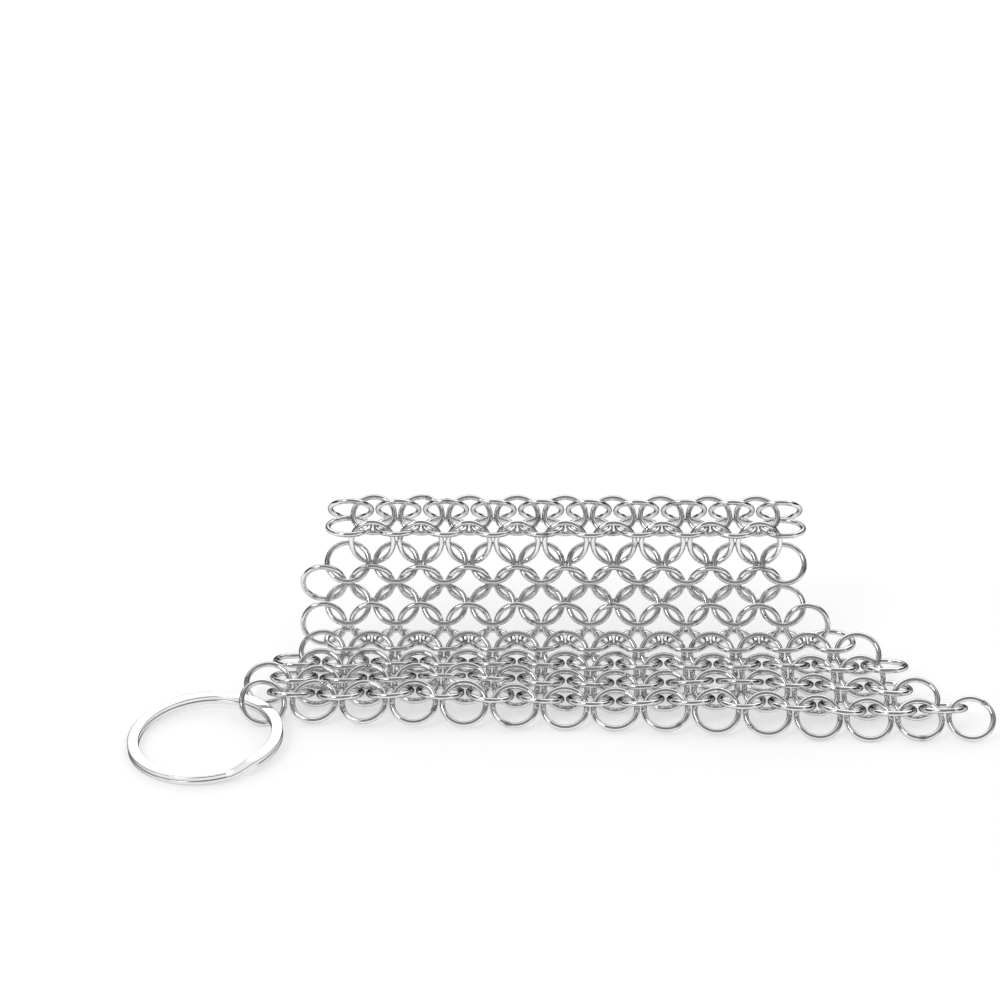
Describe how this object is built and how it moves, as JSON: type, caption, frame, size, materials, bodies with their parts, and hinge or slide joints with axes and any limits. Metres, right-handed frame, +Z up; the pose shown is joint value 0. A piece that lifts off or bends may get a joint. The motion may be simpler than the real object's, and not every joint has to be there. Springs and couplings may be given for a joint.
{
  "type": "pot scrubber",
  "caption": "Chain-mail pot scrubber of linked round wire rings, draped over a pan's rim and out over the table, with a flat split ring at one corner for hanging.",
  "frame": {"origin": "middle of the row of rings that lies on the pan's rim", "axes": "+X along the rows, -Y down the sheet towards the user, +Z up"},
  "size_m": [0.213, 0.0868, 0.0379],
  "materials": {
    "mail_steel": "polished stainless wire",
    "split_steel": "polished flat stainless band"
  },
  "bodies": {
    "inner_row": {"inner_row": "mail_steel"},
    "rim_row": {"rim_row": "mail_steel"},
    "hanging_row_1": {"hanging_row_1": "mail_steel"},
    "hanging_row_2": {"hanging_row_2": "mail_steel"},
    "hanging_row_3": {"hanging_row_3": "mail_steel"},
    "hanging_row_4": {"hanging_row_4": "mail_steel"},
    "hanging_row_5": {"hanging_row_5": "mail_steel"},
    "floor_row_1": {"floor_row_1": "mail_steel"},
    "floor_row_2": {"floor_row_2": "mail_steel"},
    "floor_row_3": {"floor_row_3": "mail_steel"},
    "floor_row_4": {"floor_row_4": "mail_steel"},
    "floor_row_5": {"floor_row_5": "mail_steel"},
    "floor_row_6": {"floor_row_6": "mail_steel"},
    "floor_row_7": {"floor_row_7": "mail_steel"},
    "floor_row_8": {"floor_row_8": "mail_steel"},
    "floor_row_9": {"floor_row_9": "mail_steel"},
    "corner_ring": {"corner_ring": "mail_steel"},
    "split_ring": {"split_ring": "split_steel"}
  },
  "joints": [
    {"name": "inner_row_swing", "type": "hinge", "parent": "rim_row", "child": "inner_row", "pos_m": [0, 0.00228, 0.00036], "axis": [1, 0, 0], "range_deg": [-11, 45]},
    {"name": "hanging_row_1_swing", "type": "hinge", "parent": "rim_row", "child": "hanging_row_1", "pos_m": [0, -0.0023, -0.00036], "axis": [1, 0, 0], "range_deg": [-45, 5]},
    {"name": "hanging_row_2_swing", "type": "hinge", "parent": "hanging_row_1", "child": "hanging_row_2", "pos_m": [0, -0.00667, -0.00204], "axis": [1, 0, 0], "range_deg": [-45, 8]},
    {"name": "hanging_row_3_swing", "type": "hinge", "parent": "hanging_row_2", "child": "hanging_row_3", "pos_m": [0, -0.00943, -0.00614], "axis": [1, 0, 0], "range_deg": [-35, 2]},
    {"name": "hanging_row_4_swing", "type": "hinge", "parent": "hanging_row_3", "child": "hanging_row_4", "pos_m": [0, -0.0116, -0.01102], "axis": [1, 0, 0], "range_deg": [-15, 10]},
    {"name": "hanging_row_5_swing", "type": "hinge", "parent": "hanging_row_4", "child": "hanging_row_5", "pos_m": [0, -0.01294, -0.01636], "axis": [1, 0, 0], "range_deg": [-10, 16]},
    {"name": "floor_row_1_swing", "type": "hinge", "parent": "hanging_row_5", "child": "floor_row_1", "pos_m": [0, -0.0151, -0.02122], "axis": [1, 0, 0], "range_deg": [-3, 40]},
    {"name": "floor_row_2_swing", "type": "hinge", "parent": "floor_row_1", "child": "floor_row_2", "pos_m": [0, -0.01781, -0.02524], "axis": [1, 0, 0], "range_deg": [-10, 45]},
    {"name": "floor_row_3_swing", "type": "hinge", "parent": "floor_row_2", "child": "floor_row_3", "pos_m": [0, -0.02195, -0.02691], "axis": [1, 0, 0], "range_deg": [-2, 40]},
    {"name": "floor_row_4_swing", "type": "hinge", "parent": "floor_row_3", "child": "floor_row_4", "pos_m": [0, -0.0261, -0.02795], "axis": [1, -0.0068, -0.0017], "range_deg": [-20, 11]},
    {"name": "floor_row_5_swing", "type": "hinge", "parent": "floor_row_4", "child": "floor_row_5", "pos_m": [-0.00003, -0.03023, -0.02838], "axis": [0.9999, -0.0146, -0.0025], "range_deg": [-3, 18]},
    {"name": "floor_row_6_swing", "type": "hinge", "parent": "floor_row_5", "child": "floor_row_6", "pos_m": [-0.00009, -0.03431, -0.02888], "axis": [0.9997, -0.0224, -0.0035], "range_deg": [-6, 7]},
    {"name": "floor_row_7_swing", "type": "hinge", "parent": "floor_row_6", "child": "floor_row_7", "pos_m": [-0.00018, -0.03836, -0.02917], "axis": [0.9995, -0.0302, -0.004], "range_deg": [-4, 12]},
    {"name": "floor_row_8_swing", "type": "hinge", "parent": "floor_row_7", "child": "floor_row_8", "pos_m": [-0.0003, -0.04238, -0.02952], "axis": [0.9993, -0.038, -0.0047], "range_deg": [-12, 4]},
    {"name": "floor_row_9_swing", "type": "hinge", "parent": "floor_row_8", "child": "floor_row_9", "pos_m": [-0.00046, -0.04644, -0.02959], "axis": [0.9989, -0.0459, -0.0048], "range_deg": [-6, 16]},
    {"name": "corner_ring_swing", "type": "hinge", "parent": "floor_row_8", "child": "corner_ring", "pos_m": [-0.07231, -0.04418, -0.02916], "axis": [0.9989, -0.0459, -0.0048], "range_deg": [-30, 15]},
    {"name": "split_ring_swing", "type": "hinge", "parent": "corner_ring", "child": "split_ring", "pos_m": [-0.07499, -0.0479, -0.03035], "axis": [-0.6428, 0.766, 0], "range_deg": [-20, 85]}
  ]
}
